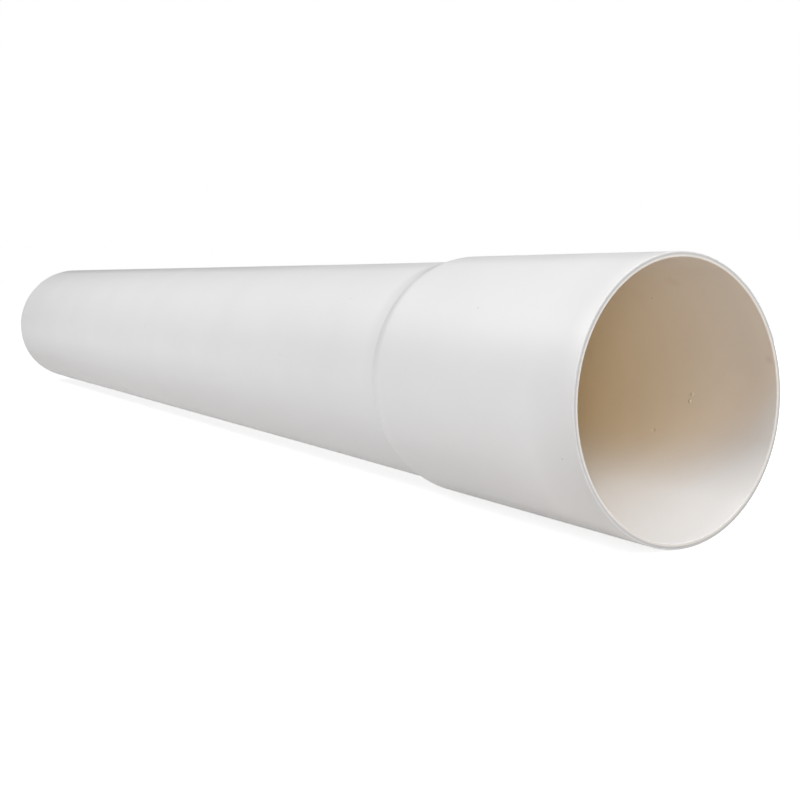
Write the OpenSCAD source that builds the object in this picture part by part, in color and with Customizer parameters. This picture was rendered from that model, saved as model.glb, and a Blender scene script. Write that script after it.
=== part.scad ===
// PVC drain pipe with a belled socket, extruded and formed in one piece.
// It lies along X with the socket mouth towards +X. The origin is under the
// middle of its length, at the height of the floor that the socket lies on.

/* [Barrel] */
// Overall length, from the spigot's tip to the socket mouth
pipe_l = 1205; // [600:5:6000]
// Outside diameter of the barrel and of the spigot at its end
pipe_d = 160; // [110:1:250]
// Wall of the barrel
wall = 3.4; // [2.4:0.1:8]

/* [Socket] */
// Depth of the parallel bore that takes the next pipe's spigot
socket_depth = 192; // [60:1:300]
// Radial clearance between that bore and a spigot
socket_clearance = 0.3; // [0.1:0.05:1]
// Wall of the socket, a little thinner because the end is stretched to form it
socket_wall = 3.3; // [2.2:0.1:8]

/* [Shoulder] */
// Slope of the shoulder between barrel and socket, in degrees
shoulder_slope = 20; // [8:1:30]
// Outside radius of the crease where the barrel turns up into the shoulder
crease_r = 8; // [3:1:40]
// Outside radius of the crown where the shoulder rounds over into the socket
crown_r = 20; // [12:1:60]

/* [Ends] */
// Length of the bevel that leads the spigot into a socket
bevel_l = 6; // [2:0.5:20]
// Thickness that the bevel leaves at the spigot's tip
tip_wall = 1.8; // [1.2:0.1:2.2]
// Rounding of the sawn edges
edge_r = 0.5; // [0.1:0.1:0.5]

/* [Hidden] */

barrel_r = pipe_d / 2;
bore_r = barrel_r - wall;
socket_bore_r = barrel_r + socket_clearance;
socket_r = socket_bore_r + socket_wall;

// Places along the axis, from the middle of the length
mouth_x = pipe_l / 2;
tip_x = -pipe_l / 2;
crown_x = mouth_x - socket_depth;

// Straight steps that stand for each curve of the profile
crease_steps = 8;
crown_steps = 8;
edge_steps = 4;

// Profiles are drawn as [radius, x]. An angle of 0 points away from the axis,
// and 90 points along it, towards the mouth.
function arc(centre, r, from, to, steps) =
    [for (i = [0:steps])
        let (a = from + (to - from) * i / steps)
        centre + r * [cos(a), sin(a)]];

// Steepest slope up to shoulder_slope at which both curves still fit in the rise
function slope_of(rise, curves) =
    min(shoulder_slope, acos(1 - min(1, rise / curves)));

// One face of the shoulder: a curve out of the narrow bore or barrel, a cone,
// and a curve into the socket that ends at crown_x
function shoulder(narrow_r, wide_r, foot_r, top_r) =
    let (rise = wide_r - narrow_r,
         curves = foot_r + top_r,
         slope = slope_of(rise, curves),
         cone_l = (rise - curves * (1 - cos(slope))) / tan(slope),
         foot_x = crown_x - curves * sin(slope) - cone_l)
    concat(
        arc([narrow_r + foot_r, foot_x], foot_r, 180, 180 - slope, crease_steps),
        arc([wide_r - top_r, crown_x], top_r, -slope, 0, crown_steps));

// Both faces of the wall run from the tip to the mouth. The inner one follows
// the outer one through the shoulder at the thickness of the wall.
outer_face = concat(
    [[bore_r + tip_wall, tip_x], [barrel_r, tip_x + bevel_l]],
    shoulder(barrel_r, socket_r, crease_r, crown_r),
    arc([socket_r - edge_r, mouth_x - edge_r], edge_r, 0, 90, edge_steps));
inner_face = concat(
    arc([bore_r + edge_r, tip_x + edge_r], edge_r, 270, 180, edge_steps),
    shoulder(bore_r, socket_bore_r, crease_r + wall, crown_r - socket_wall),
    arc([socket_bore_r + edge_r, mouth_x - edge_r], edge_r, 180, 90, edge_steps));

function reversed(points) = [for (i = [len(points) - 1:-1:0]) points[i]];

// The whole pipe: its wall's profile, turned about the axis
module pipe() {
    color([0.93, 0.92, 0.91])
        translate([0, 0, socket_r])
            rotate([0, 90, 0])
                rotate_extrude($fn = 180)
                    polygon(concat(outer_face, reversed(inner_face)));
}

pipe();
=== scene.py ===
import math
import bmesh
import bpy
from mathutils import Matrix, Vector, noise


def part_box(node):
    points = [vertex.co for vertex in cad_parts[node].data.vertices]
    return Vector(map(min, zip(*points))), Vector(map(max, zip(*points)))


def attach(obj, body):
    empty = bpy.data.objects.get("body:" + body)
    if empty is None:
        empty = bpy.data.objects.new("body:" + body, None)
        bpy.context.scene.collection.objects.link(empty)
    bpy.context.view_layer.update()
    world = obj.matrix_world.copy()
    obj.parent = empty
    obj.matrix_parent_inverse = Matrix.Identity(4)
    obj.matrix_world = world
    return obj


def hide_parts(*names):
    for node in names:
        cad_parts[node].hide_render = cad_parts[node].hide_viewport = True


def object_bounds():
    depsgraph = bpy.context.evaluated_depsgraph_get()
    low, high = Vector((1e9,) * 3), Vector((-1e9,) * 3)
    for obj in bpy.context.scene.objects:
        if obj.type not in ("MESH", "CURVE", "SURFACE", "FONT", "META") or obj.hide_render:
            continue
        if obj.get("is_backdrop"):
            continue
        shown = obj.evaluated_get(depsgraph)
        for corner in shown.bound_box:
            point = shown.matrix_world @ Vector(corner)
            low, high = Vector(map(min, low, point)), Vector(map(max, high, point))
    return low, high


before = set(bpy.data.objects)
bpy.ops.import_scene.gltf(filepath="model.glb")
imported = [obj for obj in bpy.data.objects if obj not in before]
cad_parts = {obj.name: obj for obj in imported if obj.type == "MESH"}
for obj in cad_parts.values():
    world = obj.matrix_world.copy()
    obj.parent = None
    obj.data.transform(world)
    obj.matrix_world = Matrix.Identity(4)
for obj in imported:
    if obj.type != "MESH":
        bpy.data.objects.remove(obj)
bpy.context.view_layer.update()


# --- The view ---
# A camera at knee height in front of the mouth and to one side of it. It looks level
# down the pipe, and its lens is shifted so that the pipe sits low in the frame.
camera_data = bpy.data.cameras.new("camera")
camera_data.sensor_width = 36
camera_data.lens = 47.79
camera_data.shift_y = -0.1786
camera_data.clip_start = 0.01
camera_data.clip_end = 100
camera = bpy.data.objects.new("camera", camera_data)
camera.location = (1.01778, -0.45785, 0.15159)
along = Vector((-0.84024, 0.54185, 0.0198))
camera.rotation_euler = along.to_track_quat("-Z", "Y").to_euler()
bpy.context.scene.collection.objects.link(camera)
bpy.context.scene.camera = camera


# --- The pipe ---
# One length of white rigid PVC. The barrel is extruded, one end is heated and stretched
# over a mandrel to form the socket, and both ends are sawn square.
pipe_low, pipe_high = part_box("pipe")
tip_x = pipe_low.x
mouth_x = pipe_high.x
axis_z = (pipe_low.z + pipe_high.z) / 2

barrel_r = 0.0800
barrel_wall = 0.0034
socket_clearance = 0.0003
socket_wall = 0.0033
socket_depth = 0.192
slope = math.radians(20)
crease_r = 0.008
crown_r = 0.020
bevel_l = 0.006
tip_wall = 0.0018
edge_r = 0.0005
bore_r = barrel_r - barrel_wall
socket_bore_r = barrel_r + socket_clearance
socket_r = socket_bore_r + socket_wall
crown_x = mouth_x - socket_depth
bevel_end_x = tip_x + bevel_l


# How far from its corner a bend of this radius starts.
def run_in(radius, angle):
    return radius * math.tan(angle / 2)


# The outline of the wall in the plane above the axis, as one closed loop of straight
# edges. The two faces of the shoulder are cones between the barrel and the socket.
outer_crown_x = crown_x - run_in(crown_r, slope)
inner_crown_x = crown_x - run_in(crown_r - socket_wall, slope)
outer_foot_x = outer_crown_x - (socket_r - barrel_r) / math.tan(slope)
inner_foot_x = inner_crown_x - (socket_bore_r - bore_r) / math.tan(slope)
outline = {
    "outer tip": (tip_x, bore_r + tip_wall),
    "bevel": (bevel_end_x, barrel_r),
    "outer foot": (outer_foot_x, barrel_r),
    "outer crown": (outer_crown_x, socket_r),
    "outer rim": (mouth_x, socket_r),
    "inner rim": (mouth_x, socket_bore_r),
    "inner crown": (inner_crown_x, socket_bore_r),
    "inner foot": (inner_foot_x, bore_r),
    "inner tip": (tip_x, bore_r),
}
wall = bmesh.new()
corner = {}
for place, (x, radius) in outline.items():
    corner[place] = wall.verts.new((x, 0, axis_z + radius))
loop = list(corner.values())
for start, end in zip(loop, loop[1:] + loop[:1]):
    wall.edges.new((start, end))


# Rounds one corner of the outline, with the bend starting this far from it.
def round_off(place, offset, steps):
    bmesh.ops.bevel(
        wall,
        geom=[corner[place]],
        offset=offset,
        offset_type="OFFSET",
        segments=steps,
        profile=0.5,
        affect="VERTICES",
        material=-1,
    )


bevel_run_in = 0.0008
tip_run_in = 0.0002
round_off("outer foot", run_in(crease_r, slope), 8)
round_off("outer crown", run_in(crown_r, slope), 16)
round_off("inner foot", run_in(crease_r + barrel_wall, slope), 8)
round_off("inner crown", run_in(crown_r - socket_wall, slope), 16)
round_off("bevel", bevel_run_in, 4)
round_off("outer tip", tip_run_in, 2)
for place in ("outer rim", "inner rim", "inner tip"):
    round_off(place, edge_r, 4)

# Rings along the straight runs, for the unevenness to bend.
ring_gap = 0.012
for edge in list(wall.edges):
    cuts = int(edge.calc_length() / ring_gap)
    if cuts > 0:
        bmesh.ops.subdivide_edges(wall, edges=[edge], cuts=cuts)

# The outline goes one full turn about the axis.
sides = 256
bmesh.ops.spin(
    wall,
    geom=wall.verts[:] + wall.edges[:],
    cent=(0, 0, axis_z),
    axis=(1, 0, 0),
    angle=math.tau,
    steps=sides,
    use_merge=True,
)
bmesh.ops.remove_doubles(wall, verts=wall.verts[:], dist=0.00001)
bmesh.ops.recalc_face_normals(wall, faces=wall.faces[:])

# Formed pipe isn't quite true. The barrel swells a little up to the crease, the socket
# draws in towards its mouth as it cools, and the whole wall is faintly uneven.
swell = 0.00020
swollen_x = 0.36
swell_run = 0.12
draw_in = 0.00025
unevenness = 0.00008
for v in wall.verts:
    out = Vector((0, v.co.y, v.co.z - axis_z)).normalized()
    unswollen = swell * min(1, max(0, (swollen_x - v.co.x) / swell_run))
    drawn_in = draw_in * max(0, (v.co.x - crown_x) / socket_depth) ** 1.5
    place = Vector((v.co.x * 3, v.co.y * 9, v.co.z * 9))
    uneven = unevenness * (1 + noise.noise(place))
    v.co -= out * (unswollen + drawn_in + uneven)

# The outside skin, the bore and the cut ends each get their own finish, in this order
# of material slots. The bevel is cut too, and the bore runs on under it to the tip. A
# face points a way squarely when that way's share of its normal is over 0.6.
skin, bore, sawn = range(3)
squarely = 0.6
for face in wall.faces:
    face.smooth = True
    middle = face.calc_center_median()
    outward = face.normal.dot(Vector((0, middle.y, middle.z - axis_z)).normalized())
    if middle.x < bevel_end_x and outward < -squarely:
        face.material_index = bore
    elif abs(face.normal.x) > squarely or middle.x < bevel_end_x - bevel_run_in:
        face.material_index = sawn
    elif outward < 0:
        face.material_index = bore
    else:
        face.material_index = skin
pipe_mesh = bpy.data.meshes.new("pipe_wall")
wall.to_mesh(pipe_mesh)
wall.free()
pipe = bpy.data.objects.new("pipe_wall", pipe_mesh)
bpy.context.scene.collection.objects.link(pipe)
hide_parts("pipe")
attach(pipe, "root")


# The grain that the die leaves in every wall: hair lines along the pipe, a faint orange
# peel, a slow cloudiness in the white, and here and there a speck. Its lines run along X.
grain = bpy.data.node_groups.new("extruded grain", "ShaderNodeTree")
for socket in ("Line Scale", "Cloud Scale"):
    grain.interface.new_socket(socket, in_out="INPUT", socket_type="NodeSocketFloat")
for socket in ("Lines", "Peel", "Cloud", "Specks"):
    grain.interface.new_socket(socket, in_out="OUTPUT", socket_type="NodeSocketFloat")
nodes = grain.nodes
links = grain.links
inside = nodes.new("NodeGroupInput")
outside = nodes.new("NodeGroupOutput")
place = nodes.new("ShaderNodeTexCoord")
stretch = nodes.new("ShaderNodeMapping")
stretch.inputs["Scale"].default_value = (0.004, 1, 1)
lines = nodes.new("ShaderNodeTexNoise")
lines.inputs["Detail"].default_value = 4
lines.inputs["Roughness"].default_value = 0.6
peel = nodes.new("ShaderNodeTexNoise")
peel.inputs["Scale"].default_value = 900
peel.inputs["Detail"].default_value = 2
cloud = nodes.new("ShaderNodeTexNoise")
cloud.inputs["Detail"].default_value = 3
cloud.inputs["Roughness"].default_value = 0.45
cells = nodes.new("ShaderNodeTexVoronoi")
cells.inputs["Scale"].default_value = 90
links.new(place.outputs["Object"], stretch.inputs["Vector"])
links.new(stretch.outputs["Vector"], lines.inputs["Vector"])
links.new(inside.outputs["Line Scale"], lines.inputs["Scale"])
links.new(inside.outputs["Cloud Scale"], cloud.inputs["Scale"])
for texture in (peel, cloud, cells):
    links.new(place.outputs["Object"], texture.inputs["Vector"])


# Squeezes a value from one range into another, without going past the ends.
def ranged(nodes, links, value, low, high, to_low, to_high, soft=False):
    step = nodes.new("ShaderNodeMapRange")
    step.interpolation_type = "SMOOTHSTEP" if soft else "LINEAR"
    step.inputs["From Min"].default_value = low
    step.inputs["From Max"].default_value = high
    step.inputs["To Min"].default_value = to_low
    step.inputs["To Max"].default_value = to_high
    links.new(value, step.inputs["Value"])
    return step.outputs["Result"]


# One step of arithmetic on two values.
def combined(nodes, links, operation, first, second):
    step = nodes.new("ShaderNodeMath")
    step.operation = operation
    for socket, value in zip(step.inputs, (first, second)):
        if isinstance(value, (int, float)):
            socket.default_value = value
        else:
            links.new(value, socket)
    return step.outputs["Value"]


# Several masks multiplied together.
def product(nodes, links, first, *others):
    for other in others:
        first = combined(nodes, links, "MULTIPLY", first, other)
    return first


# A speck shows in one cell in eight, where the middle of the cell lies in the surface.
near = ranged(nodes, links, cells.outputs["Distance"], 0.03, 0.06, 1, 0)
chosen = nodes.new("ShaderNodeSeparateColor")
links.new(cells.outputs["Color"], chosen.inputs["Color"])
picked = combined(nodes, links, "GREATER_THAN", chosen.outputs["Red"], 0.87)
links.new(lines.outputs["Fac"], outside.inputs["Lines"])
links.new(peel.outputs["Fac"], outside.inputs["Peel"])
links.new(cloud.outputs["Fac"], outside.inputs["Cloud"])
links.new(product(nodes, links, near, picked), outside.inputs["Specks"])


# A new material, with its shader, the grain and the place on the pipe ready to wire up.
def finish(name, line_scale, cloud_scale):
    material = bpy.data.materials.new(name)
    material.use_nodes = True
    pipe_mesh.materials.append(material)
    nodes = material.node_tree.nodes
    links = material.node_tree.links
    drawn = nodes.new("ShaderNodeGroup")
    drawn.node_tree = grain
    drawn.inputs["Line Scale"].default_value = line_scale
    drawn.inputs["Cloud Scale"].default_value = cloud_scale
    place = nodes.new("ShaderNodeTexCoord")
    at = nodes.new("ShaderNodeSeparateXYZ")
    links.new(place.outputs["Object"], at.inputs["Vector"])
    return nodes, links, nodes["Principled BSDF"], drawn.outputs, at.outputs


# A colour that goes from one to another as the mask goes from 0 to 1.
def blended(nodes, links, mask, first, second):
    step = nodes.new("ShaderNodeMix")
    step.data_type = "RGBA"
    links.new(mask, step.inputs["Factor"])
    for socket, value in ((step.inputs[6], first), (step.inputs[7], second)):
        if isinstance(value, tuple):
            socket.default_value = (*value, 1)
        else:
            links.new(value, socket)
    return step.outputs[2]


# Gives a material's shader a relief that is this many metres deep.
def relief(nodes, links, shader, height, depth):
    bump = nodes.new("ShaderNodeBump")
    bump.inputs["Strength"].default_value = 1
    bump.inputs["Distance"].default_value = depth
    links.new(height, bump.inputs["Height"])
    links.new(bump.outputs["Normal"], shader.inputs["Normal"])


# How high above the pipe's axis a place on the surface is.
def above_axis(nodes, links, at):
    return combined(nodes, links, "SUBTRACT", at["Z"], axis_z)


# How far from the pipe's axis a place on the surface is.
def from_axis(nodes, links, at):
    level = above_axis(nodes, links, at)
    upright = product(nodes, links, level, level)
    sideways = product(nodes, links, at["Y"], at["Y"])
    squares = combined(nodes, links, "ADD", upright, sideways)
    return combined(nodes, links, "SQRT", squares, 0)


# The outside skin: satin white, clouded by a percent or so, a breath warmer low down and
# towards the mouth, with painted shade low down by the mouth and a painted highlight on
# top of the shoulder.
skin_white = (0.868, 0.860, 0.864)
skin_cloud = (0.852, 0.843, 0.846)
warm_low_tint = (0.86, 0.825, 0.795)
painted_shade_by_mouth = (0.66, 0.638, 0.618)
painted_highlight_white = (0.94, 0.935, 0.937)
nodes, links, shader, drawn, at = finish("white_pvc_skin", line_scale=420, cloud_scale=14)
cloudy = ranged(nodes, links, drawn["Cloud"], 0.35, 0.65, 0, 1)
white = blended(nodes, links, cloudy, skin_white, skin_cloud)
low = ranged(nodes, links, at["Z"], axis_z - 0.070, axis_z - 0.005, 1, 0)
toward_mouth = ranged(nodes, links, at["X"], crown_x, mouth_x, 0.4, 1)
white = blended(nodes, links, product(nodes, links, low, toward_mouth), white, warm_low_tint)
# Painted shade: the skin darkens over the last 40 mm before the mouth, most towards the bottom.
by_mouth = ranged(nodes, links, at["X"], mouth_x - 0.040, mouth_x, 0, 1)
under = ranged(nodes, links, at["Z"], axis_z - 0.080, axis_z + 0.020, 1, 0.15)
white = blended(nodes, links, product(nodes, links, by_mouth, under), white, painted_shade_by_mouth)
# Painted highlight: a paler band on the upper side of the shoulder, between its foot and its crown.
rising = ranged(nodes, links, at["X"], outer_foot_x - 0.003, outer_foot_x + 0.001, 0, 1, soft=True)
falling = ranged(nodes, links, at["X"], crown_x - 0.007, crown_x, 1, 0, soft=True)
upper = ranged(nodes, links, at["Z"], axis_z + 0.010, axis_z + 0.070, 0, 1, soft=True)
painted_highlight = product(nodes, links, rising, falling, upper)
white = blended(nodes, links, painted_highlight, white, painted_highlight_white)

# Painted shade, grey, in the crease at the foot of the shoulder, most of it on top, and a
# thin band of painted shade along the very top of the pipe.
painted_shade_grey = (0.68, 0.672, 0.67)
crease_x = outer_foot_x + 0.0010
before = ranged(nodes, links, at["X"], crease_x - 0.020, crease_x, 0, 1, soft=True)
after = ranged(nodes, links, at["X"], crease_x, crease_x + 0.008, 1, 0, soft=True)
upward = ranged(nodes, links, at["Z"], axis_z - 0.030, axis_z + 0.079, 0.2, 1)
topward = combined(nodes, links, "POWER", upward, 3)
patchy = ranged(nodes, links, drawn["Cloud"], 0.3, 0.7, 0.7, 1)
crease_shade = product(nodes, links, before, after, topward, patchy)
level = above_axis(nodes, links, at)
radius = from_axis(nodes, links, at)
facing_up = combined(nodes, links, "DIVIDE", level, radius)
crest = ranged(nodes, links, facing_up, 0.915, 0.99, 0, 1, soft=True)
thin = ranged(nodes, links, at["X"], 0.05, 0.25, 0.85, 0.5, soft=True)
top_shade = product(nodes, links, crest, thin, patchy)
painted_shade = combined(nodes, links, "MAXIMUM", crease_shade, top_shade)
white = blended(nodes, links, painted_shade, white, painted_shade_grey)

# Darker painted shade on the shoulder itself, over the top of the pipe only, and the grain's specks.
crease_top_shade_grey = (0.42, 0.412, 0.408)
skin_speck = (0.60, 0.57, 0.53)
before = ranged(nodes, links, at["X"], crease_x - 0.016, crease_x, 0, 1, soft=True)
after = ranged(nodes, links, at["X"], crown_x - 0.005, crown_x + 0.001, 1, 0, soft=True)
topmost = ranged(nodes, links, facing_up, 0.84, 0.985, 0, 0.65)
white = blended(nodes, links, product(nodes, links, before, after, topmost), white, crease_top_shade_grey)
white = blended(nodes, links, drawn["Specks"], white, skin_speck)
links.new(white, shader.inputs["Base Color"])
rough = ranged(nodes, links, drawn["Lines"], 0.3, 0.7, 0.41, 0.51)
links.new(rough, shader.inputs["Roughness"])
grain_depth = 0.00001
shallow = product(nodes, links, drawn["Peel"], 0.5)
texture = combined(nodes, links, "ADD", drawn["Lines"], shallow)
relief(nodes, links, shader, texture, grain_depth)


# How much a place belongs to a small round mark about a point.
def mark(nodes, links, centre, radius):
    place = nodes.new("ShaderNodeTexCoord")
    apart = nodes.new("ShaderNodeVectorMath")
    apart.operation = "DISTANCE"
    apart.inputs[1].default_value = centre
    links.new(place.outputs["Object"], apart.inputs[0])
    return ranged(nodes, links, apart.outputs["Value"], 0, radius, 1, 0, soft=True)


# The bore: the same PVC, painted warm cream for the warm light that bounces in it and comes
# through its wall, and yellower away from the ends. A paler painted pool of light lies along
# the bottom of it, reaching higher near the ends.
mouth_bounce_cream = (0.72, 0.62, 0.52)
bounce_cream = (0.79, 0.675, 0.55)
deep_bounce_yellow = (0.88, 0.695, 0.42)
bore_cloud = (0.70, 0.56, 0.42)
pool_upper_grey = (0.69, 0.67, 0.65)
pool_lower_white = (0.94, 0.95, 0.965)
bore_speck = (0.45, 0.38, 0.30)
light_reach = 0.038
nodes, links, shader, drawn, at = finish("white_pvc_bore", line_scale=300, cloud_scale=20)
from_mouth = combined(nodes, links, "SUBTRACT", mouth_x, at["X"])
from_tip = combined(nodes, links, "SUBTRACT", at["X"], tip_x)
depth = combined(nodes, links, "MINIMUM", from_mouth, from_tip)
# Painted light: the pale pool along the bottom of the bore rises higher towards either end, where light
# comes in.
fading = combined(nodes, links, "POWER", math.exp(-1 / light_reach), depth)
edge_of_light = ranged(nodes, links, fading, 0, 1, axis_z - 0.060, axis_z)
above = combined(nodes, links, "SUBTRACT", at["Z"], edge_of_light)
painted_light_pool = ranged(nodes, links, above, -0.028, 0.028, 1, 0, soft=True)
near = ranged(nodes, links, depth, 0, 0.045, 0, 1)
deep = ranged(nodes, links, depth, 0.045, 0.19, 0, 1)
cloudy = ranged(nodes, links, drawn["Cloud"], 0.35, 0.65, 0, 0.15)
painted_bounce = blended(nodes, links, near, mouth_bounce_cream, bounce_cream)
painted_bounce = blended(nodes, links, deep, painted_bounce, deep_bounce_yellow)
painted_bounce = blended(nodes, links, cloudy, painted_bounce, bore_cloud)
low = ranged(nodes, links, at["Z"], axis_z - 0.065, axis_z - 0.030, 1, 0)
pool_colour = blended(nodes, links, low, pool_upper_grey, pool_lower_white)
white = blended(nodes, links, painted_light_pool, painted_bounce, pool_colour)
white = blended(nodes, links, drawn["Specks"], white, bore_speck)

# Two faint stains near the mouth, and on the side wall two beads and a dent, all of them
# a few millimetres across. The beads and the dent are many times the grain's height.
brown = (0.58, 0.41, 0.27)
russet = (0.50, 0.34, 0.30)
brown_stain = mark(nodes, links, (mouth_x - 0.051, 0.0454, axis_z + 0.0662), 0.008)
russet_stain = mark(nodes, links, (mouth_x - 0.004, 0.0780, axis_z + 0.0190), 0.004)
white = blended(nodes, links, product(nodes, links, brown_stain, 0.2), white, brown)
white = blended(nodes, links, product(nodes, links, russet_stain, 0.3), white, russet)
upper_bead = mark(nodes, links, (mouth_x - 0.0660, 0.0799, axis_z - 0.0080), 0.0020)
lower_bead = mark(nodes, links, (mouth_x - 0.0675, 0.0793, axis_z - 0.0125), 0.0018)
dent = mark(nodes, links, (mouth_x - 0.0930, 0.0726, axis_z - 0.0340), 0.0022)
beads = combined(nodes, links, "ADD", upper_bead, lower_bead)
marks = combined(nodes, links, "SUBTRACT", beads, dent)
links.new(white, shader.inputs["Base Color"])
rough = ranged(nodes, links, drawn["Lines"], 0.3, 0.7, 0.42, 0.55)
links.new(rough, shader.inputs["Roughness"])
times_grain = 50
raised = product(nodes, links, marks, times_grain)
texture = combined(nodes, links, "ADD", drawn["Lines"], raised)
relief(nodes, links, shader, texture, grain_depth)

# The sawn ends: duller, painted a shaded grey in the thickness of the wall, with painted
# highlights along both edges, pale outside and cream next to the bore, and the saw's fine
# scratches straight across. The spigot's thin tip and its bevel are cream all over.
sawn_shade_grey = (0.455, 0.447, 0.445)
inner_edge_highlight = (0.70, 0.662, 0.618)
outer_edge_highlight = (0.66, 0.655, 0.65)
scratch_grey = (0.46, 0.45, 0.435)
scratch_depth = 0.00004
nodes, links, shader, drawn, at = finish("white_pvc_sawn", line_scale=420, cloud_scale=60)
radius = from_axis(nodes, links, at)
inner_edge = ranged(nodes, links, radius, socket_bore_r + 0.0006, socket_bore_r + 0.0016, 1, 0, soft=True)
outer_edge = ranged(nodes, links, radius, socket_r - 0.0014, socket_r - 0.0006, 0, 1, soft=True)
white = blended(nodes, links, inner_edge, sawn_shade_grey, inner_edge_highlight)
white = blended(nodes, links, outer_edge, white, outer_edge_highlight)
scratch = nodes.new("ShaderNodeTexNoise")
scratch.inputs["Scale"].default_value = 2500
scratch.inputs["Detail"].default_value = 3
across = nodes.new("ShaderNodeMapping")
across.inputs["Scale"].default_value = (1, 0.02, 1)
place = nodes.new("ShaderNodeTexCoord")
links.new(place.outputs["Object"], across.inputs["Vector"])
links.new(across.outputs["Vector"], scratch.inputs["Vector"])
scored = ranged(nodes, links, scratch.outputs["Fac"], 0.35, 0.7, 0, 0.3)
white = blended(nodes, links, scored, white, scratch_grey)
links.new(white, shader.inputs["Base Color"])
rough = ranged(nodes, links, scratch.outputs["Fac"], 0.3, 0.7, 0.55, 0.75)
links.new(rough, shader.inputs["Roughness"])
relief(nodes, links, shader, scratch.outputs["Fac"], scratch_depth)


# --- The floor ---
# A seamless sheet of matt white paper. It is lit like any paper, and to the eye and in
# reflections it also glows, a little more far off, so that only the shadow is not white.
sheet = bmesh.new()
bmesh.ops.create_grid(sheet, x_segments=1, y_segments=1, size=30)
floor_mesh = bpy.data.meshes.new("floor")
sheet.to_mesh(floor_mesh)
sheet.free()
floor = bpy.data.objects.new("floor", floor_mesh)
bpy.context.scene.collection.objects.link(floor)
floor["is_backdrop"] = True
paper = bpy.data.materials.new("white_paper")
paper.use_nodes = True
floor_mesh.materials.append(paper)
nodes = paper.node_tree.nodes
links = paper.node_tree.links
nodes.clear()


# 1 for what is seen straight or through something, less for what the pipe's satin
# surface reflects, and 0 for plain light.
def seen(nodes, links, in_gloss):
    path = nodes.new("ShaderNodeLightPath")
    eye = path.outputs["Is Camera Ray"]
    straight = combined(nodes, links, "MAXIMUM", eye, path.outputs["Is Transmission Ray"])
    reflected = product(nodes, links, path.outputs["Is Glossy Ray"], in_gloss)
    return combined(nodes, links, "MAXIMUM", straight, reflected)


matt = nodes.new("ShaderNodeBsdfDiffuse")
matt.inputs["Color"].default_value = (0.64, 0.64, 0.64, 1)
place = nodes.new("ShaderNodeTexCoord")
away = nodes.new("ShaderNodeVectorMath")
away.operation = "LENGTH"
links.new(place.outputs["Object"], away.inputs[0])
far_off = ranged(nodes, links, away.outputs["Value"], 0.9, 3.0, 0.77, 1.0, soft=True)
lift = product(nodes, links, seen(nodes, links, 0.95), far_off)
glow = nodes.new("ShaderNodeEmission")
links.new(combined(nodes, links, "ADD", lift, 0.02), glow.inputs["Strength"])
both = nodes.new("ShaderNodeAddShader")
output = nodes.new("ShaderNodeOutputMaterial")
links.new(matt.outputs[0], both.inputs[0])
links.new(glow.outputs[0], both.inputs[1])
links.new(both.outputs[0], output.inputs["Surface"])


# --- The studio ---
# A room that is white to the eye and dim to the pipe, a soft box over the near side of
# the barrel, and large ones in front of the mouth that reach into the bore. Only the
# first leaves a gleam.
studio = bpy.data.worlds.new("studio")
bpy.context.scene.world = studio
studio.use_nodes = True
nodes = studio.node_tree.nodes
links = studio.node_tree.links
room = nodes["Background"]
room.inputs["Color"].default_value = (1, 1, 1, 1)
links.new(ranged(nodes, links, seen(nodes, links, 0.25), 0, 1, 0.01, 1), room.inputs["Strength"])


# A rectangular lamp turned towards a point. It shows in the pipe's gloss if it gleams.
def soft_box(name, place, aim, width, height, power, gleams=False):
    lamp_data = bpy.data.lights.new(name, "AREA")
    lamp_data.shape = "RECTANGLE"
    lamp_data.size = width
    lamp_data.size_y = height
    lamp_data.energy = power
    lamp = bpy.data.objects.new(name, lamp_data)
    lamp.location = place
    lamp.rotation_euler = (Vector(aim) - lamp.location).to_track_quat("-Z", "Y").to_euler()
    lamp.visible_camera = False
    lamp.visible_glossy = gleams
    bpy.context.scene.collection.objects.link(lamp)


soft_box("barrel_light", (-0.3, -1.0, 1.19), (-0.3, 0, 0.08), 0.8, 0.5, 14.6, gleams=True)
mouth = (0.6, 0, 0.08)
soft_box("side_light", (2.2, -1.2, 0.4), mouth, 0.8, 0.6, 14)
soft_box("mouth_light", (2.2, -0.5, 1.65), mouth, 0.8, 1.0, 15)
soft_box("high_light", (2.2, 0.4, 1.2), mouth, 0.8, 0.6, 12.6)

# A small lamp that reaches the bottom of the bore, and two low ones that fill in the
# back of the pipe and its far end.
soft_box("small_light", (0.88, 0.1, 0.8), (0.58, 0, 0.01), 0.5, 0.5, 2)
soft_box("back_light", (0.0, 1.6, 0.38), (0.0, 0, 0.08), 1.4, 0.5, 13)
soft_box("end_light", (-2.2, 0.9, 0.45), (-0.6, 0, 0.08), 0.8, 0.6, 9)

bpy.context.scene.view_settings.view_transform = "Standard"

low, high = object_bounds()
